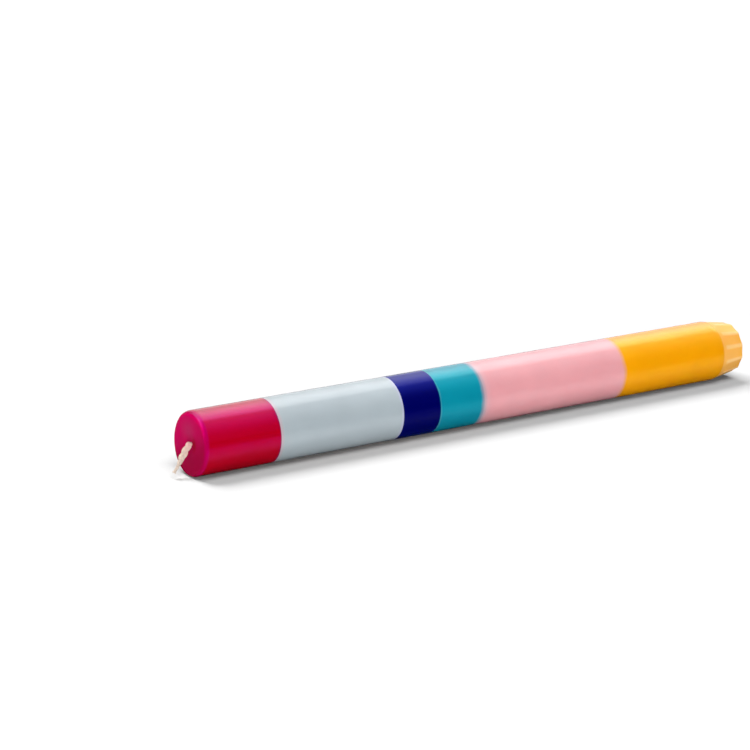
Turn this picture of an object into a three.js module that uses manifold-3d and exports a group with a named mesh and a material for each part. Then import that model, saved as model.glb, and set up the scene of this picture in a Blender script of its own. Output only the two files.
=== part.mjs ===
// Taper candle lying on its side, poured in six dyed layers of wax round one braided wick.
// Millimetres. +Z is up and +X runs from the wick end to the foot.
// The origin is on the table, under the middle of the wax body.

import * as THREE from "three";
import { mergeVertices } from "three/addons/utils/BufferGeometryUtils.js";
import Module from "manifold-3d";

const wasm = await Module();
wasm.setup();

// Wax body
const BODY_DIAMETER = 22;
const MAGENTA_LENGTH = 29.6;
const ICE_BLUE_LENGTH = 48.4;
const NAVY_LENGTH = 15.2;
const TURQUOISE_LENGTH = 18.3;
const PINK_LENGTH = 61.6;
const YELLOW_LENGTH = 56.9;
const SET_DEPTH = 0.8; // a pour sinks this far in the middle as it sets, before the next one goes on

// Wick end
const RIM_RADIUS = 1.3;
const END_SLANT = THREE.MathUtils.degToRad(3.8); // the end face leans back this much from square
const DIMPLE_DIAMETER = 9;
const DIMPLE_DEPTH = 0.6;

// Foot, pared to a taper and fluted to sit in a holder
const FOOT_LENGTH = 11;
const FOOT_END_DIAMETER = 18.7;
const FLUTE_COUNT = 12;
const FLUTE_DEPTH = 0.5;

// Wick: a flat braid that runs through every layer
const WICK_WIDTH = 2.6;
const WICK_THICKNESS = 1;
const WICK_CLEARANCE = 0.3;
const WICK_REACH = 5; // from the foremost point of the wax out to the tip
const WICK_STRAIGHT = 1.2; // the wick keeps straight on for about this much before it bends down
const WICK_TIP_HEIGHT = 2.1; // of the tip's middle above the table
const WICK_LAY = THREE.MathUtils.degToRad(-17); // turn of the braid's width inside the wax, from level
const WICK_TWIST = THREE.MathUtils.degToRad(-150); // further turn from the end face to the tip

// Fineness of the faceted shapes
const SIDES_PER_FLUTE = 6;
const DISH_STEPS = 4;
const DIMPLE_STEPS = 3;
const RIM_STEPS = 5;
const FOOT_STEPS = 5;
const WICK_END_STEPS = 4;
const WICK_BEND_STEPS = 14;

// Sizes that follow from those above
const BODY_RADIUS = BODY_DIAMETER / 2;
const FOOT_END_RADIUS = FOOT_END_DIAMETER / 2;
const DIMPLE_RADIUS = DIMPLE_DIAMETER / 2;
const SIDES = FLUTE_COUNT * SIDES_PER_FLUTE;
const SIDE_TURN = (2 * Math.PI) / SIDES;
const AXIS_HEIGHT = BODY_RADIUS * Math.cos(SIDE_TURN / 2); // the body lies on the middle of one of its sides
const LAYERS = [
  { name: "magenta_layer", length: MAGENTA_LENGTH, color: 0xc4004e },
  { name: "ice_blue_layer", length: ICE_BLUE_LENGTH, color: 0xb9c6cd },
  { name: "navy_layer", length: NAVY_LENGTH, color: 0x04046a },
  { name: "turquoise_layer", length: TURQUOISE_LENGTH, color: 0x1191a8 },
  { name: "pink_layer", length: PINK_LENGTH, color: 0xe8a2ab },
  { name: "yellow_layer", length: YELLOW_LENGTH, color: 0xf0a600 },
];
const BODY_LENGTH = LAYERS.reduce((sum, layer) => sum + layer.length, 0);
const WICK_END_X = -BODY_LENGTH / 2;
const FOOT_END_X = BODY_LENGTH / 2;
const FOOT_START_X = FOOT_END_X - FOOT_LENGTH;

// A closed geometry as a solid that can be cut.
function solidOf(geometry) {
  const bare = new THREE.BufferGeometry();
  bare.setAttribute("position", geometry.getAttribute("position"));
  bare.setIndex(geometry.getIndex());
  const merged = mergeVertices(bare, 1e-4);
  const vertProperties = merged.getAttribute("position").array;
  const count = merged.getAttribute("position").count;
  const triVerts = new Uint32Array(merged.index ? merged.index.array : [...Array(count).keys()]);
  return new wasm.Manifold(new wasm.Mesh({ numProp: 3, vertProperties, triVerts }));
}

function meshOf(solid, name, material) {
  const { vertProperties, triVerts } = solid.getMesh();
  const geometry = new THREE.BufferGeometry();
  geometry.setAttribute("position", new THREE.BufferAttribute(vertProperties, 3));
  geometry.setIndex(new THREE.BufferAttribute(triVerts, 1));
  geometry.computeVertexNormals();
  const mesh = new THREE.Mesh(geometry, material);
  mesh.name = name;
  return mesh;
}

function waxMaterial(color) {
  return new THREE.MeshStandardMaterial({ color, roughness: 0.3, metalness: 0 });
}

// Outlines are pairs of radius and x, from the candle's axis out to its wall.

// The face of a set pour: a dish, deepest on the axis and level with x at the wall.
function setFace(x) {
  const points = [];
  for (let i = 0; i <= DISH_STEPS; i++) {
    const share = i / DISH_STEPS;
    points.push([BODY_RADIUS * share, x - SET_DEPTH * (1 - share * share)]);
  }
  return points;
}

// The wick end: a shallow hollow round the wick, a flat ring and a rounded rim.
function wickEndFace() {
  const points = [];
  for (let i = 0; i <= DIMPLE_STEPS; i++) {
    const share = i / DIMPLE_STEPS;
    points.push([DIMPLE_RADIUS * share, WICK_END_X + DIMPLE_DEPTH * (1 - share * share)]);
  }
  for (let i = 0; i <= RIM_STEPS; i++) {
    const turn = ((Math.PI / 2) * i) / RIM_STEPS;
    points.push([
      BODY_RADIUS - RIM_RADIUS * (1 - Math.sin(turn)),
      WICK_END_X + RIM_RADIUS * (1 - Math.cos(turn)),
    ]);
  }
  return points;
}

// The foot: a taper down to a flat end face.
function footFace() {
  const points = [[0, FOOT_END_X]];
  for (let i = FOOT_STEPS; i >= 0; i--) {
    const share = i / FOOT_STEPS;
    const radius = THREE.MathUtils.lerp(BODY_RADIUS, FOOT_END_RADIUS, share);
    points.push([radius, FOOT_START_X + FOOT_LENGTH * share]);
  }
  return points;
}

// Turns an outline round the candle's axis, with the middle of a facet at the bottom.
function turned(outline) {
  const points = outline.map(([radius, x]) => new THREE.Vector2(radius, x));
  const geometry = new THREE.LatheGeometry(points, SIDES, SIDE_TURN / 2);
  geometry.rotateZ(-Math.PI / 2);
  geometry.translate(0, 0, AXIS_HEIGHT);
  return geometry;
}

// Leans the wick end back about the lowest point of its rim.
function slant(geometry) {
  const position = geometry.getAttribute("position");
  for (let i = 0; i < position.count; i++) {
    const x = position.getX(i);
    if (x > WICK_END_X + MAGENTA_LENGTH / 2) continue;
    position.setX(i, x + position.getZ(i) * Math.tan(END_SLANT));
  }
  return geometry;
}

// Scoops the flutes out of the foot: round grooves with sharp crests, deeper towards the end.
// Each crest runs along an edge between two sides, and one is three and a half sides round from the bottom.
function flute(geometry) {
  const position = geometry.getAttribute("position");
  const crest = -Math.PI / 2 - 3.5 * SIDE_TURN;
  for (let i = 0; i < position.count; i++) {
    const x = position.getX(i);
    const y = position.getY(i);
    const z = position.getZ(i) - AXIS_HEIGHT;
    const radius = Math.hypot(y, z);
    if (x <= FOOT_START_X || radius < FOOT_END_RADIUS / 2) continue;
    const along = (x - FOOT_START_X) / FOOT_LENGTH;
    const round = Math.abs(Math.sin((FLUTE_COUNT / 2) * (Math.atan2(z, y) - crest)));
    const cut = FLUTE_DEPTH * Math.sin((Math.PI / 2) * along) * round;
    const scale = (radius - cut) / radius;
    position.setXYZ(i, x, y * scale, z * scale + AXIS_HEIGHT);
  }
  return geometry;
}

// The section of the braid: a flat strip with round edges.
function braidSection(width, thickness) {
  const half = (width - thickness) / 2;
  const shape = new THREE.Shape();
  shape.absarc(half, 0, thickness / 2, -Math.PI / 2, Math.PI / 2);
  shape.absarc(-half, 0, thickness / 2, Math.PI / 2, (3 * Math.PI) / 2);
  return shape;
}

// One stop on the wick's way: a point, the way it runs there, and the turn of its width from level.
// The way lies in the XZ plane, so the Y axis is always square to it.
function stop(at, run, turn) {
  const level = new THREE.Vector3(0, 1, 0);
  const steep = new THREE.Vector3().crossVectors(run, level);
  const across = level.multiplyScalar(Math.cos(turn)).addScaledVector(steep, Math.sin(turn));
  return { at, across, through: new THREE.Vector3().crossVectors(run, across) };
}

// Extrudes a section in straight steps and lays it along the stops.
function laidAlong(shape, stops) {
  const steps = stops.length - 1;
  const geometry = new THREE.ExtrudeGeometry(shape, {
    depth: steps,
    steps,
    bevelEnabled: false,
    curveSegments: WICK_END_STEPS,
  });
  const position = geometry.getAttribute("position");
  for (let i = 0; i < position.count; i++) {
    const { at, across, through } = stops[Math.round(position.getZ(i))];
    const point = at
      .clone()
      .addScaledVector(across, position.getX(i))
      .addScaledVector(through, position.getY(i));
    position.setXYZ(i, point.x, point.y, point.z);
  }
  return geometry;
}

// The channel that the wax leaves round the wick, run out past both ends of the body.
function wickChannel() {
  const towardsTip = new THREE.Vector3(-1, 0, 0);
  const from = new THREE.Vector3(FOOT_END_X + WICK_WIDTH, 0, AXIS_HEIGHT);
  const to = new THREE.Vector3(WICK_END_X - WICK_WIDTH, 0, AXIS_HEIGHT);
  const shape = braidSection(WICK_WIDTH + 2 * WICK_CLEARANCE, WICK_THICKNESS + 2 * WICK_CLEARANCE);
  return laidAlong(shape, [stop(from, towardsTip, WICK_LAY), stop(to, towardsTip, WICK_LAY)]);
}

// The wick: cut flush with the foot, straight through the wax, then bent down and twisted
// from the bottom of the dimple on.
function wick() {
  const towardsTip = new THREE.Vector3(-1, 0, 0);
  const flush = new THREE.Vector3(FOOT_END_X, 0, AXIS_HEIGHT);
  const faceX = WICK_END_X + AXIS_HEIGHT * Math.tan(END_SLANT);
  const root = new THREE.Vector3(faceX + DIMPLE_DEPTH, 0, AXIS_HEIGHT);
  const tip = new THREE.Vector3(WICK_END_X - WICK_REACH, 0, WICK_TIP_HEIGHT);
  const ahead = root.clone().addScaledVector(towardsTip, WICK_STRAIGHT);
  const midway = root.clone().lerp(tip, 0.5);
  const bend = new THREE.CubicBezierCurve3(root, ahead, midway, tip);
  const stops = [stop(flush, towardsTip, WICK_LAY)];
  for (let i = 0; i <= WICK_BEND_STEPS; i++) {
    const share = i / WICK_BEND_STEPS;
    const run = bend.getTangentAt(share);
    stops.push(stop(bend.getPointAt(share), run, WICK_LAY + WICK_TWIST * share));
  }
  return laidAlong(braidSection(WICK_WIDTH, WICK_THICKNESS), stops);
}

const candle = new THREE.Group();
const channel = solidOf(wickChannel());
let start = WICK_END_X;
LAYERS.forEach((layer, i) => {
  const end = start + layer.length;
  const isWickEnd = i === 0;
  const isFoot = i === LAYERS.length - 1;
  const near = isWickEnd ? wickEndFace() : setFace(start);
  const far = isFoot ? footFace() : setFace(end);
  let body = turned([...near, ...far.reverse()]);
  if (isWickEnd) body = slant(body);
  if (isFoot) body = flute(body);
  const solid = solidOf(body).subtract(channel);
  candle.add(meshOf(solid, layer.name, waxMaterial(layer.color)));
  start = end;
});

const cotton = new THREE.MeshStandardMaterial({ color: 0xe4d3ba, roughness: 0.95, metalness: 0 });
candle.add(meshOf(solidOf(wick()), "wick", cotton));

export default candle;
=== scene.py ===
import math

import bpy
import numpy as np
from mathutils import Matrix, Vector, noise


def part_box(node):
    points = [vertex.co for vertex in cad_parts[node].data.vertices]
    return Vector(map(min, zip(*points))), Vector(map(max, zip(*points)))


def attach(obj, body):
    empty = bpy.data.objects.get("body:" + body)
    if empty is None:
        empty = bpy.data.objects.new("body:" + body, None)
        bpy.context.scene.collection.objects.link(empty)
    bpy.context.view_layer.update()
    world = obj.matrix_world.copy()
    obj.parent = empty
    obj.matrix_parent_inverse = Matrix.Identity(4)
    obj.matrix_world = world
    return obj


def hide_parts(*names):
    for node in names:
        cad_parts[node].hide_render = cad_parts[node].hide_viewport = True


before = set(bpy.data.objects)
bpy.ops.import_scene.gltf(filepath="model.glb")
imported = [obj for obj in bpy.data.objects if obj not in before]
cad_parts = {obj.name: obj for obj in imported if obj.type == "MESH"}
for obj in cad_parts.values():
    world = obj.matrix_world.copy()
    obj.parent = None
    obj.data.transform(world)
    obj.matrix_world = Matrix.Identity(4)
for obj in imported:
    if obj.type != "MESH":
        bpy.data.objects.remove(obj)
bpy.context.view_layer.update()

# Magenta layer: the first of six pours of dyed wax round one wick, in a tube mould that stands on end.
# It is hard, glossy wax, dyed through. The mould gave it the round rim and the slightly slanting end.
# It sank a little round the wick as it set, and in the face where the next pour went on.
MM = 0.001
BODY_RADIUS = 11 * MM
AXIS_Z = BODY_RADIUS
SPOKES = 240  # points round the candle, a multiple of the twelve flutes of the foot
WALL_STEP = 1.5 * MM
LAYER_CREASE = 40  # edges of the wax that turn by more degrees than this stay sharp
SET_DEPTH = 0.8 * MM  # how far a pour sinks in its middle as it sets
WAVE_HEIGHT = 0.03 * MM
WAVE_LENGTH = 14 * MM
WAVES_ROUND = 1.3
CHANNEL_WIDTH = 3.0 * MM
CHANNEL_THICKNESS = 1.3 * MM
CHANNEL_LAY = math.radians(-17)  # its turn from level


def channel_radius(angle):
    """How far the edge of the wick's channel is from the axis: a flat slot with round ends."""
    half_thick = CHANNEL_THICKNESS / 2
    half_flat = (CHANNEL_WIDTH - CHANNEL_THICKNESS) / 2
    c = abs(math.cos(angle - CHANNEL_LAY))
    s = abs(math.sin(angle - CHANNEL_LAY))
    if half_thick * c <= half_flat * s:
        return half_thick / s
    return half_flat * c + math.sqrt(half_thick**2 - (half_flat * s) ** 2)


def cast_wave(x, angle):
    """The faint unevenness of a hand-poured wall, inwards only."""
    point = Vector((x / WAVE_LENGTH, WAVES_ROUND * math.cos(angle), WAVES_ROUND * math.sin(angle)))
    return -WAVE_HEIGHT * (1 + noise.noise(point))


def spokes():
    """The angles of the points round the candle."""
    return [2 * math.pi * i / SPOKES for i in range(SPOKES)]


def wall_ring(x, radius_at=lambda x, angle: BODY_RADIUS):
    """A ring on the outside: points of (x, radius, angle)."""
    return [(x, radius_at(x, a) + cast_wave(x, a), a) for a in spokes()]


def face_ring(share, x_at, outer=lambda angle: BODY_RADIUS):
    """A ring on an end face: share 0 is the channel's edge and share 1 is the wall."""
    ring = []
    for a in spokes():
        hole = channel_radius(a)
        radius = hole + (outer(a) - hole) * share
        ring.append((x_at(radius, a), radius, a))
    return ring


def walls_between(start, end):
    """Rings along the plain wall."""
    count = max(2, round((end - start) / WALL_STEP))
    return [wall_ring(start + (end - start) * i / count) for i in range(count + 1)]


def set_face(wall_x, outwards):
    """The dished face of a set pour, from the channel out to the wall or back."""
    shares = [0, 0.2, 0.4, 0.6, 0.8]
    if not outwards:
        shares.reverse()
    return [
        face_ring(s, lambda r, a: wall_x - SET_DEPTH * (1 - (r / BODY_RADIUS) ** 2)) for s in shares
    ]


def skinned(name, points, faces, crease):
    """A piece made of points and faces, smooth apart from the edges that turn by more than crease."""
    mesh = bpy.data.meshes.new(name)
    mesh.from_pydata(points, [], faces)
    mesh.shade_smooth()
    mesh.set_sharp_from_angle(angle=math.radians(crease))
    piece = bpy.data.objects.new(name, mesh)
    bpy.context.scene.collection.objects.link(piece)
    return piece


def poured(name, rings):
    """Joins closed rings of (x, radius, angle) into one closed skin, the last back to the first."""
    points = [
        (x, r * math.cos(a), AXIS_Z + r * math.sin(a)) for ring in rings for x, r, a in ring
    ]
    faces = []
    for k in range(len(rings)):
        here, there = k * SPOKES, (k + 1) % len(rings) * SPOKES
        for i in range(SPOKES):
            j = (i + 1) % SPOKES
            faces.append((here + i, here + j, there + j, there + i))
    return skinned(name, points, faces, LAYER_CREASE)


# The open end: a face that slants, the rim round it, and the dimple where the wax sank round the wick.
low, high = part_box("magenta_layer")
WICK_END_X = low.x
magenta_end = high.x
END_SLANT = math.tan(math.radians(3.8))
UPRIGHT_AFTER = 2 * MM  # the slant has died out this far before the joint
RIM_RADIUS = 1.3 * MM
TOP_RIM_RADIUS = 2.4 * MM
RIM_STEPS = 12
RIM_TO_WALL = 0.5 * MM  # from the rim to the first ring of the plain wall
DIMPLE_RADIUS = 4.5 * MM
DIMPLE_DEPTH = 0.6 * MM
END_FACE_STEPS = 28
FACE_WAVE_HEIGHT = 0.04 * MM
FACE_WAVE_SCALE = 400  # per metre


def wick_end_x(radius, angle):
    """The wick end's face: flat, with a shallow dimple round the wick."""
    y, z = radius * math.cos(angle), radius * math.sin(angle)
    x = WICK_END_X
    if radius < DIMPLE_RADIUS:
        x += DIMPLE_DEPTH * (0.5 + 0.5 * math.cos(math.pi * radius / DIMPLE_RADIUS))
    wave = noise.noise(Vector((5, y * FACE_WAVE_SCALE, z * FACE_WAVE_SCALE)))
    return x + FACE_WAVE_HEIGHT * wave


def rim_radius(angle):
    """The rounding of the rim, which is softer at its top."""
    return RIM_RADIUS + (TOP_RIM_RADIUS - RIM_RADIUS) * max(0.0, math.sin(angle)) ** 6


def rim_rings():
    """The quarter round from the face out to the wall, wider at the top."""
    rings = []
    for i in range(RIM_STEPS + 1):
        turn = math.pi / 2 * i / RIM_STEPS
        ring = []
        for a in spokes():
            radius = BODY_RADIUS - rim_radius(a) * (1 - math.sin(turn))
            depth = rim_radius(a) * (1 - math.cos(turn))
            wave = cast_wave(WICK_END_X + depth, a) * i / RIM_STEPS
            ring.append((wick_end_x(radius, a) + depth, radius + wave, a))
        rings.append(ring)
    return rings


def slanted(rings, end):
    """Leans the wick end back about the lowest point of its rim, and less and less along the wall."""
    span = end - UPRIGHT_AFTER - WICK_END_X
    return [
        [
            (x + END_SLANT * (AXIS_Z + r * math.sin(a)) * max(0.0, 1 - (x - WICK_END_X) / span), r, a)
            for x, r, a in ring
        ]
        for ring in rings
    ]


rings = [
    face_ring(i / END_FACE_STEPS, wick_end_x, lambda a: BODY_RADIUS - rim_radius(a))
    for i in range(END_FACE_STEPS)
]
rings += rim_rings()
rings += walls_between(WICK_END_X + TOP_RIM_RADIUS + RIM_TO_WALL, magenta_end)
rings += set_face(magenta_end, outwards=False)
magenta_wax = poured("magenta_wax", slanted(rings, magenta_end))

# The wax: a dye with faint clouds in it, joints that wander a little, an uneven gloss and a fine grain.
CLOUD_SCALE = 55  # per metre, as the scales below
CLOUDING = 0.045
EDGE_SCALE = 160
EDGE_WANDER = 0.25 * MM  # a joint strays this far from its place
GLOSS_SCALE = 240
GLOSS_SPREAD = (-0.03, 0.04)
GLOW_ROUGHNESS = 0.4
GRAIN_SCALE = 900
GRAIN_HEIGHT = 0.05 * MM
GRAIN_STRENGTH = 0.08


def add(tree, kind, inputs, **settings):
    """Adds a shader node. Each input gets a number, a colour or what another node gives."""
    node = tree.nodes.new(kind)
    for key, value in settings.items():
        setattr(node, key, value)
    for key, value in inputs.items():
        if isinstance(value, bpy.types.NodeSocket):
            tree.links.new(value, node.inputs[key])
        else:
            node.inputs[key].default_value = value
    return node


def on_numbers(tree, operation, *values):
    """A number worked out from one or more others."""
    return add(tree, "ShaderNodeMath", dict(enumerate(values)), operation=operation).outputs[0]


def on_vectors(tree, operation, *values):
    """A node that works out a vector, or the Value of one, from one or more others."""
    return add(tree, "ShaderNodeVectorMath", dict(enumerate(values)), operation=operation)


def along_line(tree, place, line):
    """How far a place lies along a line, or how nearly a direction points along it."""
    return on_vectors(tree, "DOT_PRODUCT", place, line).outputs["Value"]


def ramp(tree, value, start, end, at_start, at_end):
    """A smooth step from one value to another, as value goes from start to end."""
    span = {"Value": value, "From Min": start, "From Max": end, "To Min": at_start, "To Max": at_end}
    step = add(tree, "ShaderNodeMapRange", span, interpolation_type="SMOOTHSTEP")
    return step.outputs["Result"]


def speckle(tree, place, scale, least, most):
    """Noise at a scale per metre, spread between two values."""
    grain = add(tree, "ShaderNodeTexNoise", {"Vector": place, "Scale": scale, "Detail": 3.0})
    span = {"From Min": 0.3, "From Max": 0.7, "To Min": least, "To Max": most}
    return add(tree, "ShaderNodeMapRange", {"Value": grain.outputs["Fac"], **span}).outputs["Result"]


def shaded(tree, color, shade):
    """One colour, made darker and lighter by a number that varies over the surface."""
    scaled = add(tree, "ShaderNodeVectorMath", {0: color, "Scale": shade}, operation="SCALE")
    return scaled.outputs["Vector"]


def tinted(tree, color, other, share):
    """Mixes other into color by a share that varies over the surface."""
    mix = add(tree, "ShaderNodeMix", {"Factor": share, "A": color, "B": (*other, 1)}, data_type="RGBA")
    return mix.outputs["Result"]


def bare_material(name):
    """A material without a shader, with its nodes, the place on the piece and that place's X, Y and Z."""
    material = bpy.data.materials.new(name)
    material.use_nodes = True
    tree = material.node_tree
    tree.nodes.clear()
    place = add(tree, "ShaderNodeTexCoord", {}, name="place").outputs["Object"]
    split = add(tree, "ShaderNodeSeparateXYZ", {"Vector": place}, name="split").outputs
    return material, tree, place, split


def coat(tree, kind, inputs):
    """Covers a material with one shader, and returns the shader."""
    shader = add(tree, kind, inputs, name="shader")
    add(tree, "ShaderNodeOutputMaterial", {"Surface": shader.outputs["BSDF"]})
    return shader


def dyed_wax(
    name, dye, sheen, bleeds, scatter=(2.0, 0.7, 0.7), gloss=0.17, depth=0.35, ior=1.44, glow=None
):
    """Hard, dyed wax: a cloudy dye, a gloss that varies a little, and a soft depth.
    sheen is the tint of the gloss, which a strong dye colours too, and gloss its roughness.
    bleeds lists (edge x, width with its sign, colour of the neighbour, most of it).
    scatter is how far red, green and blue get into the wax, in millimetres, and depth how much does.
    ior is lower where a strong dye takes up most of the gloss that is seen at a slant.
    glow is the weight and colour of the light that comes back out at a slant."""
    material, tree, place, split = bare_material(name)
    color = shaded(tree, dye, speckle(tree, place, CLOUD_SCALE, 1 - CLOUDING, 1 + CLOUDING))
    wander = speckle(tree, place, EDGE_SCALE, -EDGE_WANDER, EDGE_WANDER)
    along = on_numbers(tree, "ADD", split["X"], wander)
    for edge, width, other, share in bleeds:
        color = tinted(tree, color, other, ramp(tree, along, edge, edge + width, share, 0.0))
    dullest, glossiest = gloss + GLOSS_SPREAD[1], gloss + GLOSS_SPREAD[0]
    grain = add(tree, "ShaderNodeTexNoise", {"Vector": place, "Scale": GRAIN_SCALE, "Detail": 4.0})
    bumps = {"Height": grain.outputs["Fac"], "Strength": GRAIN_STRENGTH, "Distance": GRAIN_HEIGHT}
    wax = coat(
        tree,
        "ShaderNodeBsdfPrincipled",
        {
            "Base Color": color,
            "Roughness": speckle(tree, place, GLOSS_SCALE, glossiest, dullest),
            "Normal": add(tree, "ShaderNodeBump", bumps).outputs["Normal"],
            "IOR": ior,
            "Specular Tint": (*sheen, 1),
            "Subsurface Weight": depth,
            "Subsurface Radius": scatter,
            "Subsurface Scale": MM,
        },
    )
    if glow:
        wax.inputs["Sheen Weight"].default_value = glow[0]
        wax.inputs["Sheen Roughness"].default_value = GLOW_ROUGHNESS
        wax.inputs["Sheen Tint"].default_value = (*glow[1], 1)
    return material


def recolor(material, share, color, roughness):
    """Gives part of a dyed wax another colour and roughness, by a share that varies over the surface."""
    tree = material.node_tree
    wax = tree.nodes["shader"]
    dyed = wax.inputs["Base Color"].links[0].from_socket
    tree.links.new(tinted(tree, dyed, color, share), wax.inputs["Base Color"])
    cast = wax.inputs["Roughness"].links[0].from_socket
    mix = add(tree, "ShaderNodeMix", {"Factor": share, "A": cast, "B": roughness}, data_type="FLOAT")
    tree.links.new(mix.outputs["Result"], wax.inputs["Roughness"])


def finish_layer(piece, node, material):
    """Gives a layer its wax, and its place on the candle's one body."""
    piece.data.materials.append(material)
    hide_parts(node)
    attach(piece, "root")
    piece.visible_diffuse = False  # throws no coloured light back on the table


# The magenta itself, redder on the wall than on the open end, whose colours carry painted light and
# shade.
MAGENTA = (0.43, 0.0, 0.010)
JOINT_PURPLE = (0.14, 0.0, 0.07)  # where the ice blue melted into it
# painted reflection: the rounded rim is painted purplish
RIM_PAINTED_REFLECTION = (0.42, 0.0, 0.065)
FACE_PAINTED_LIGHT = (0.62, 0.0, 0.10)  # the open end, painted lighter towards its top and back: painted light
# painted shade: the open end's colour lower down, darker than at its top and bluer than the wall
FACE_PAINTED_SHADE = (0.37, 0.0, 0.043)
FACE_PAINTED_REFLECTION = (0.47, 0.025, 0.11)  # a painted reflection on the open end above the wick, pale and a little grey
FACE_PAINTED_WICK_SHADE = (0.33, 0.0, 0.004)  # painted shade beside the wick's root, where the wick shades the face
magenta_dye = dyed_wax(
    "magenta dyed wax",
    MAGENTA,
    (1, 0, 1),
    [(magenta_end, -0.75 * MM, JOINT_PURPLE, 0.9)],
    gloss=0.13,
    ior=1.42,
)
tree = magenta_dye.node_tree
place = tree.nodes["place"].outputs["Object"]
from_face = along_line(tree, place, (1, 0, -END_SLANT))  # how far behind the slanting face
painted_light_rise = along_line(tree, place, (0, 0.5, 1))  # how far up, and half as much towards the back, for the painted light on the open end


def near_face(share, full=0.1 * MM, gone=0.9 * MM):
    """A share that holds on the open end and dies out over its rim."""
    return ramp(tree, from_face, WICK_END_X + full, WICK_END_X + gone, share, 0.0)


def patch(y, z, half_width, half_height, share):
    """A soft oval patch on the open end, placed from its middle."""
    away = on_vectors(tree, "SUBTRACT", place, (0, y, AXIS_Z + z)).outputs["Vector"]
    scaled = on_vectors(tree, "MULTIPLY", away, (0, 1 / half_width, 1 / half_height)).outputs["Vector"]
    out = on_vectors(tree, "LENGTH", scaled).outputs["Value"]
    return near_face(ramp(tree, out, 0.0, 1.1, share, 0.0))


# Painted reflection: the rounded rim of the open end is painted purplish.
recolor(magenta_dye, near_face(1.0, 1.0 * MM, 2.0 * MM), RIM_PAINTED_REFLECTION, 0.2)
recolor(magenta_dye, near_face(1.0), FACE_PAINTED_SHADE, 0.2)
# Painted light: the open end is painted lighter towards its top and back.
recolor(magenta_dye, near_face(ramp(tree, painted_light_rise, 3 * MM, 18 * MM, 0.0, 1.0)), FACE_PAINTED_LIGHT, 0.2)
# Painted reflection: a pale, greyish patch on the open end above the wick.
recolor(magenta_dye, patch(0.8 * MM, 4.5 * MM, 6 * MM, 4.5 * MM, 0.6), FACE_PAINTED_REFLECTION, 0.22)
# Painted shade: a darker patch on the open end beside the wick's root.
recolor(magenta_dye, patch(-3.2 * MM, 0.4 * MM, 2.2 * MM, 3.2 * MM, 0.9), FACE_PAINTED_WICK_SHADE, 0.2)
finish_layer(magenta_wax, "magenta_layer", magenta_dye)

# Ice blue layer: the second pour of the same wax, the palest and cloudiest. It went on while the magenta
# was still warm, which tinted its first millimetres, and the navy left a lavender line at its other end.
ICE_BLUE = (0.39, 0.45, 0.485)
PINK = (0.745, 0.335, 0.365)
JOINT_LAVENDER = (0.46, 0.47, 0.66)


def middle_layer(name, start, end):
    """A layer between two joints, with a dished face at each."""
    return poured(name, [*set_face(start, True), *walls_between(start, end), *set_face(end, False)])


ice_blue_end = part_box("ice_blue_layer")[1].x
ice_blue_wax = middle_layer("ice_blue_wax", magenta_end, ice_blue_end)
ice_blue_dye = dyed_wax(
    "ice blue dyed wax",
    ICE_BLUE,
    (1, 1, 1),
    [(magenta_end, 1.6 * MM, PINK, 0.3), (ice_blue_end, -1.1 * MM, JOINT_LAVENDER, 0.9)],
    scatter=(1.5, 1.5, 1.5),
)
finish_layer(ice_blue_wax, "ice_blue_layer", ice_blue_dye)

# Navy layer: the third pour and the shortest band. Its wax holds so much dye that hardly any light gets
# in; along the top it is painted lighter, as painted light. It was poured on wax that had set, so both
# its edges are crisp.
NAVY = (0.0, 0.0004, 0.089)
NAVY_PAINTED_LIGHT = (0.0, 0.004, 0.21)  # painted light: the band's top, painted lighter
NAVY_GLOSS = 0.07
TURQUOISE = (0.002, 0.25, 0.35)
navy_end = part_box("navy_layer")[1].x
navy_wax = middle_layer("navy_wax", ice_blue_end, navy_end)
navy_dye = dyed_wax(
    "navy dyed wax",
    NAVY,
    (0, 0, 1),
    [(ice_blue_end, 0.5 * MM, ICE_BLUE, 0.06), (navy_end, -0.6 * MM, TURQUOISE, 0.2)],
    scatter=(0.4, 0.4, 1.0),
    gloss=NAVY_GLOSS,
    depth=0.15,
    ior=1.22,
    glow=(0.1, (0, 0.12, 1)),
)
height = navy_dye.node_tree.nodes["split"].outputs["Z"]
painted_top_light = ramp(navy_dye.node_tree, height, 16.5 * MM, 22 * MM, 0.0, 1.0)
# Painted light: the top of the band is painted lighter.
recolor(navy_dye, painted_top_light, NAVY_PAINTED_LIGHT, NAVY_GLOSS)
finish_layer(navy_wax, "navy_layer", navy_dye)

# Turquoise layer: the fourth pour, of clear, strongly dyed wax. It met the navy when that had set hard,
# and the pink when it was itself still soft, so that edge is blurred.
turquoise_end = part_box("turquoise_layer")[1].x
turquoise_wax = middle_layer("turquoise_wax", navy_end, turquoise_end)
turquoise_dye = dyed_wax(
    "turquoise dyed wax",
    TURQUOISE,
    (0, 1, 1),
    [(navy_end, 0.8 * MM, ICE_BLUE, 0.1), (turquoise_end, -1.6 * MM, PINK, 0.4)],
    scatter=(0.4, 1.2, 1.6),
    gloss=0.2,
)
finish_layer(turquoise_wax, "turquoise_layer", turquoise_dye)

# Pink layer: the fifth and longest pour, of milky wax that is soft to look into. It melted the top of
# the turquoise as it went on, and the two colours ran into a greyish haze.
JOINT_GREY = (0.55, 0.42, 0.48)
YELLOW = (0.87, 0.345, 0.001)
pink_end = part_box("pink_layer")[1].x
pink_wax = middle_layer("pink_wax", turquoise_end, pink_end)
pink_bleeds = [
    (turquoise_end, 1.5 * MM, TURQUOISE, 0.4),
    (turquoise_end, 4 * MM, JOINT_GREY, 0.35),
    (pink_end, -1.0 * MM, YELLOW, 0.4),
]
pink_dye = dyed_wax("pink dyed wax", PINK, (1, 1, 1), pink_bleeds, scatter=(3.2, 1.2, 1.2))
finish_layer(pink_wax, "pink_layer", pink_dye)

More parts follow.
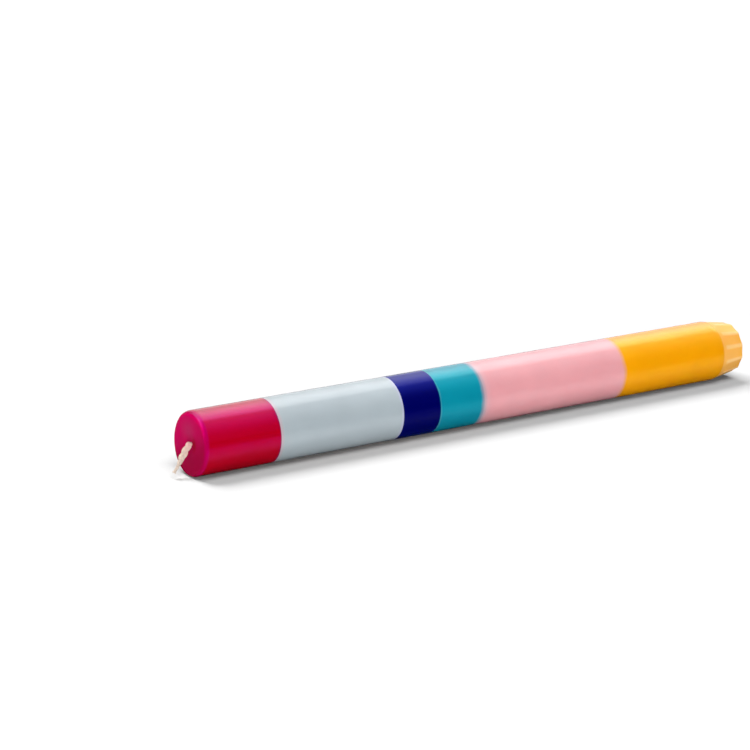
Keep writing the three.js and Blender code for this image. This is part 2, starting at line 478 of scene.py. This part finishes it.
# Yellow layer: the last pour. Its foot is pared to a taper with a cutter and fluted, so that it
# wedges in a holder, and the cut wax is paler and duller than the cast wall.
FOOT_LENGTH = 11 * MM
FOOT_END_RADIUS = 9.35 * MM
FOOT_CHAMFER = 0.2 * MM
FOOT_STEPS = 44
CHAMFER_STEPS = 4
FOOT_FACE_STEPS = 20
FLUTES = 12
FLUTE_DEPTH = 0.5 * MM
CREST = math.radians(-107.5)  # one of the crests lies here, from level at the back
CREST_WEAR = 0.3  # rounds the crests off
PARED = (0.92, 0.45, 0.09)
# painted highlight: the crests of the flutes are painted lighter
CREST_PAINTED_HIGHLIGHT = (0.97, 0.60, 0.26)
PARED_ROUGHNESS = 0.42
foot_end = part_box("yellow_layer")[1].x
foot_start = foot_end - FOOT_LENGTH


def foot_radius(x, angle):
    """The wall, then the taper with its scooped flutes and slightly worn crests between them."""
    along = max(0.0, (x - foot_start) / FOOT_LENGTH)
    taper = (BODY_RADIUS - FOOT_END_RADIUS) * along
    scoop = math.sqrt(math.sin(FLUTES / 2 * (angle - CREST)) ** 2 + CREST_WEAR**2) - CREST_WEAR
    return BODY_RADIUS - taper - FLUTE_DEPTH * math.sin(math.pi / 2 * along) * scoop


def foot_rings():
    """The taper, the small chamfer at its end, and the end face in to the channel."""
    rings = []
    for i in range(1, FOOT_STEPS + 1):
        x = foot_start + (FOOT_LENGTH - FOOT_CHAMFER) * i / FOOT_STEPS
        rings.append(wall_ring(x, foot_radius))
    for i in range(1, CHAMFER_STEPS + 1):
        turn = math.pi / 2 * i / CHAMFER_STEPS
        x = foot_end - FOOT_CHAMFER * (1 - math.sin(turn))
        inset = FOOT_CHAMFER * (1 - math.cos(turn))
        rings.append(wall_ring(x, lambda x, a: foot_radius(x, a) - inset))
    for i in reversed(range(FOOT_FACE_STEPS)):
        share = i / FOOT_FACE_STEPS
        rings.append(
            face_ring(share, lambda r, a: foot_end, lambda a: foot_radius(foot_end, a) - FOOT_CHAMFER)
        )
    return rings


yellow_wax = poured(
    "yellow_wax", [*set_face(pink_end, True), *walls_between(pink_end, foot_start), *foot_rings()]
)
yellow_dye = dyed_wax(
    "yellow dyed wax", YELLOW, (1, 1, 0), [(pink_end, 1.3 * MM, PINK, 0.5)], scatter=(3.2, 1.4, 0.4)
)
tree = yellow_dye.node_tree
split = tree.nodes["split"].outputs
pared = ramp(tree, split["X"], foot_start + 0.2 * MM, foot_start + 1.2 * MM, 0.0, 0.92)
pared = ramp(tree, split["X"], foot_end - 3.0 * MM, foot_end - 0.6 * MM, pared, 0.65)
recolor(yellow_dye, pared, PARED, PARED_ROUGHNESS)
# Painted highlight: the crests of the flutes are painted lighter, from a little way along the foot to
# just short of its end.
around = on_numbers(tree, "ARCTAN2", on_numbers(tree, "SUBTRACT", split["Z"], AXIS_Z), split["Y"])
on_crest = on_numbers(tree, "COSINE", on_numbers(tree, "MULTIPLY_ADD", around, FLUTES, -FLUTES * CREST))
crest_highlight_share = ramp(tree, split["X"], foot_start + 1.5 * MM, foot_start + 3 * MM, 0.0, 0.8)
crest_highlight_share = ramp(tree, split["X"], foot_end - 0.3 * MM, foot_end - 0.05 * MM, crest_highlight_share, 0.0)
crest_highlight_share = ramp(tree, on_crest, 0.3, 1.0, 0.0, crest_highlight_share)
recolor(yellow_dye, crest_highlight_share, CREST_PAINTED_HIGHLIGHT, PARED_ROUGHNESS)
finish_layer(yellow_wax, "yellow_layer", yellow_dye)

# Wick: a flat plait of three cotton strands, each of eight twisted yarns, lightly waxed. It lies straight
# in the wax and is cut flush at the foot. The free end is bent down and twisted, with a frayed cut.
WICK_REACH = 5.0 * MM
WICK_TIP_Z = 2.1 * MM
WICK_STRAIGHT = 1.2 * MM
STRANDS = 3
YARNS = 8
YARN_SIDES = 6
YARN_RADIUS = 0.165 * MM
YARN_CREASE = 75
STRAND_SWING = (0.66 * MM, 0.24 * MM)  # across the plait and through it
STRAND_HALF = (0.40 * MM, 0.19 * MM)  # half the strand's width and thickness, to its yarns' middles
PLAIT_PITCH = 8.0 * MM
YARN_PITCH = 9.0 * MM
HIDDEN_STEP = 0.6 * MM  # along a yarn inside the wax
SHOWN_STEP = 0.12 * MM
LEAST_STEP = 0.03 * MM
SHOWN_FROM = 2 * MM  # before the bottom of the dimple
NEAR = 0.05 * MM  # the bend's direction is taken between two places this near
FRAY = 0.2 * MM
TWIST_STOPS = [(0, -17), (0.15, -45), (0.5, -60), (0.62, -110), (0.72, -140), (1, -165)]
COTTON = (0.79, 0.68, 0.56)
# pink near the face: partly magenta wax soaked into the cotton, partly painted light thrown on it by the
# magenta face
SOAKED_AND_BOUNCE_PINK = (0.76, 0.40, 0.38)
face_x = WICK_END_X + END_SLANT * AXIS_Z
root = Vector((face_x + DIMPLE_DEPTH, 0, AXIS_Z))
tip = Vector((WICK_END_X - WICK_REACH, 0, WICK_TIP_Z))
ahead = root - Vector((WICK_STRAIGHT, 0, 0))
midway = (root + tip) / 2
bend = np.array(
    [
        (1 - t) ** 3 * root + 3 * (1 - t) ** 2 * t * ahead + 3 * (1 - t) * t**2 * midway + t**3 * tip
        for t in np.linspace(0, 1, 201)
    ]
)
bend_run = np.concatenate([[0], np.cumsum(np.linalg.norm(np.diff(bend, axis=0), axis=1))])
straight_run = foot_end - root.x
wick_run = straight_run + bend_run[-1]
twist_shares, twist_turns = np.array(TWIST_STOPS).T


def on_bend(past):
    """The place on the bend at a distance from the bottom of the dimple."""
    return np.array([np.interp(past, bend_run, bend[:, k]) for k in range(3)])


def wick_frame(run):
    """The middle of the wick at a distance from the foot, with its across and through directions."""
    past = max(0.0, run - straight_run)
    at = Vector(on_bend(past))
    if run < straight_run:
        at.x = foot_end - run
    along = Vector((-1, 0, 0))
    if past > 0:
        along = Vector(on_bend(past + NEAR) - on_bend(max(past - NEAR, 0))).normalized()
    level = Vector((0, 1, 0))
    steep = along.cross(level)
    turn = math.radians(np.interp(past / bend_run[-1], twist_shares, twist_turns))
    across = level * math.cos(turn) + steep * math.sin(turn)
    return at, across, along.cross(across)


def tube(points, radius, sides, vertices, faces):
    """A closed tube along points, with its ends capped."""
    aslant = Vector((0.3, 0.9, 0.2))  # no yarn runs this way
    first = len(vertices)
    count = len(points)
    for k, p in enumerate(points):
        run = (points[min(k + 1, count - 1)] - points[max(k - 1, 0)]).normalized()
        side = run.cross(aslant).normalized()
        other = run.cross(side)
        for i in range(sides):
            a = 2 * math.pi * i / sides
            vertices.append(p + radius * (math.cos(a) * side + math.sin(a) * other))
    for k in range(count - 1):
        for i in range(sides):
            j = (i + 1) % sides
            row, above = first + k * sides, first + (k + 1) * sides
            faces.append((row + i, row + j, above + j, above + i))
    faces.append(tuple(first + i for i in reversed(range(sides))))
    faces.append(tuple(first + (count - 1) * sides + i for i in range(sides)))


def yarn_point(run, strand, yarn):
    """The middle of a yarn, which coils in its strand while the strand swings in the plait."""
    at, across, through = wick_frame(run)
    swing = 2 * math.pi * (run / PLAIT_PITCH + strand / STRANDS)
    coil = 2 * math.pi * (run / YARN_PITCH + yarn / YARNS)
    u = STRAND_SWING[0] * math.sin(swing) + STRAND_HALF[0] * math.cos(coil)
    v = STRAND_SWING[1] * math.sin(2 * swing) + STRAND_HALF[1] * math.sin(coil)
    return at + u * across + v * through


vertices, faces = [], []
shown_run = straight_run - SHOWN_FROM
runs = [*np.arange(0, shown_run, HIDDEN_STEP), *np.arange(shown_run, wick_run, SHOWN_STEP)]
for strand in range(STRANDS):
    for yarn in range(YARNS):
        cut = wick_run - FRAY * (0.4 + noise.noise(Vector((strand * 3.1, yarn * 1.7, 0.5))))
        yarn_runs = [r for r in runs if r < cut - LEAST_STEP] + [cut]
        points = [yarn_point(r, strand, yarn) for r in yarn_runs]
        tube(points, YARN_RADIUS, YARN_SIDES, vertices, faces)
wick_braid = skinned("wick_braid", vertices, faces, YARN_CREASE)


def waxed_cotton():
    """Off-white cotton with a thin coat of wax, pinker near the face: partly soaked with magenta wax, and
    partly painted light, the pink light the magenta face throws on it.
    """
    material, tree, place, split = bare_material("waxed cotton")
    # Partly real soaking and partly painted light: the cotton is pinker near the face.
    soaked_and_bounce_share = ramp(tree, split["X"], face_x - 3.5 * MM, face_x + 0.8 * MM, 0.12, 0.75)
    color = shaded(tree, COTTON, speckle(tree, place, 1300, 0.78, 1.08))
    coat(
        tree,
        "ShaderNodeBsdfPrincipled",
        {
            "Base Color": tinted(tree, color, SOAKED_AND_BOUNCE_PINK, soaked_and_bounce_share),
            "Roughness": speckle(tree, place, 1500, 0.5, 0.75),
            "Sheen Weight": 0.15,
            "Subsurface Weight": 0.1,
            "Subsurface Radius": (0.5, 0.4, 0.3),
            "Subsurface Scale": MM,
        },
    )
    return material


wick_braid.data.materials.append(waxed_cotton())
wick_braid.visible_glossy = False  # the wax is too dull to mirror it
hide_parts("wick")
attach(wick_braid, "root")

# Table: a plain white sheet that the candle lies on. It is no part of the candle, and all that shows of
# it is the candle's shadow.
TABLE_SIZE = 2.4
half = TABLE_SIZE / 2
corners = [(-half, -half, 0), (half, -half, 0), (half, half, 0), (-half, half, 0)]
white_table = skinned("white_table", corners, [(0, 1, 2, 3)], LAYER_CREASE)


def white_sheet():
    """White to the camera, a little greyer to the soft light. What the gloss of the wax shows of it
    is bright just in front of the candle and dark under it, behind it and farther off."""
    material, tree, place, split = bare_material("white sheet")
    ray = add(tree, "ShaderNodeLightPath", {}).outputs
    away = on_vectors(tree, "LENGTH", place).outputs["Value"]
    white = ramp(tree, away, 100 * MM, 800 * MM, 0.88, 1.0)
    seen = ramp(tree, ray["Is Camera Ray"], 0.0, 1.0, 0.96, white)
    mirrored = ramp(tree, split["Y"], -110 * MM, -35 * MM, 0.05, 1.0)
    mirrored = ramp(tree, split["Y"], -22 * MM, -9 * MM, mirrored, 0.03)
    color = ramp(tree, ray["Is Glossy Ray"], 0.0, 1.0, seen, mirrored)
    coat(tree, "ShaderNodeBsdfDiffuse", {"Color": color})
    return material


white_table.data.materials.append(white_sheet())

# Light: three big soft boxes, high behind the candle, high in front of it and low to the left. They give
# the plain light and the shadow, and none shows in the gloss. The gloss shows the studio round the candle
# instead: a bright wall behind and overhead, a dark corner to the left, and one narrow strip light.
BOX_DISTANCE = 6.0
STUDIO = [  # from one tilt to another it comes to a brightness
    (3.1, 2.75, 0.4),
    (2.75, 1.75, 2.2),
    (1.62, 1.40, 5.2),
    (1.2, 0.35, 1.3),
]
TO_DARK_CORNER = (-0.5, 0.86, 0)
STRIP_ACROSS = (0.860, -0.436, 0.264)
STRIP_BRIGHTNESS = 12.0


def soft_box(name, height, bearing, size, radiance):
    """A square lamp. Height and bearing are angles, the bearing from +X towards +Y."""
    lamp = bpy.data.lights.new(name, "AREA")
    lamp.shape = "SQUARE"
    lamp.size = size
    lamp.energy = radiance * math.pi * size**2
    lamp.cycles.use_multiple_importance_sampling = False
    box = bpy.data.objects.new(name, lamp)
    level = math.cos(math.radians(height))
    towards = Vector((
        level * math.cos(math.radians(bearing)),
        level * math.sin(math.radians(bearing)),
        math.sin(math.radians(height)),
    ))
    box.location = towards * BOX_DISTANCE
    box.rotation_mode = "QUATERNION"
    box.rotation_quaternion = (-towards).to_track_quat("-Z", "Y")
    box.visible_glossy = False
    bpy.context.scene.collection.objects.link(box)


soft_box("soft box behind", 63, 110, 3.6, 7.25)
soft_box("soft box in front", 60, -92, 3.6, 4.6)
soft_box("soft box to the left", 12, -124, 3.4, 4.88)

world = bpy.data.worlds.new("white studio")
bpy.context.scene.world = world
world.use_nodes = True
tree = world.node_tree
tree.nodes.clear()
direction = add(tree, "ShaderNodeTexCoord", {}).outputs["Generated"]
split = add(tree, "ShaderNodeSeparateXYZ", {"Vector": direction}).outputs
ray = add(tree, "ShaderNodeLightPath", {}).outputs

# The tilt is 0 level behind the candle, and it grows over the top towards the front.
tilt = on_numbers(tree, "ARCTAN2", split["Z"], split["Y"])
studio = 0.0
for start, end, brightness in STUDIO:
    studio = ramp(tree, tilt, start, end, studio, brightness)

# The wick end mirrors the dark corner, and the two ends of the studio are plainer than its length.
studio = ramp(tree, along_line(tree, direction, TO_DARK_CORNER), 0.70, 0.88, studio, 0.02)
studio = ramp(tree, on_numbers(tree, "ABSOLUTE", split["X"]), 0.7, 0.92, studio, 0.8)

# The strip light draws the thin bright line on the rim of the wick end.
across = along_line(tree, direction, STRIP_ACROSS)
strip = ramp(tree, across, -0.57, -0.53, 0.0, STRIP_BRIGHTNESS)
strip = ramp(tree, across, -0.51, -0.46, strip, 0.0)
strip = ramp(tree, split["Z"], 0.38, 0.55, 0.0, strip)

# Gloss shows the studio, the camera shows plain white, and next to no soft light comes from either.
mirrored = ramp(tree, ray["Is Glossy Ray"], 0.0, 1.0, 0.02, on_numbers(tree, "ADD", studio, strip))
seen = on_numbers(tree, "MAXIMUM", ray["Is Camera Ray"], ray["Is Transmission Ray"])
strength = ramp(tree, seen, 0.0, 1.0, mirrored, 1.0)
background = add(tree, "ShaderNodeBackground", {"Color": (1, 1, 1, 1), "Strength": strength})
add(tree, "ShaderNodeOutputWorld", {"Surface": background.outputs["Background"]})

# Camera: a long lens from the front left and a little above, as the photograph was taken. Its place and
# lens come from a fit to the candle's outlines and to the edges of its bands.
FOCAL_PIXELS = 2554.5  # of a picture 750 pixels wide
PICTURE_WIDTH = 750
CAMERA_BEFORE_WICK_END = 382.3 * MM
CAMERA_IN_FRONT = 704.4 * MM
CAMERA_HEIGHT = 255.6 * MM
CAMERA_DIP = math.radians(15.46)
CAMERA_TURN = math.radians(-32.89)
camera_data = bpy.data.cameras.new("camera")
camera_data.sensor_width = 36
camera_data.lens = FOCAL_PIXELS / PICTURE_WIDTH * camera_data.sensor_width
camera_data.clip_start = 0.05
camera_data.clip_end = 20
camera = bpy.data.objects.new("camera", camera_data)
camera.location = (WICK_END_X - CAMERA_BEFORE_WICK_END, -CAMERA_IN_FRONT, CAMERA_HEIGHT)
camera.rotation_euler = (math.pi / 2 - CAMERA_DIP, 0, CAMERA_TURN)
bpy.context.scene.collection.objects.link(camera)
bpy.context.scene.camera = camera
bpy.context.scene.view_settings.view_transform = "Standard"
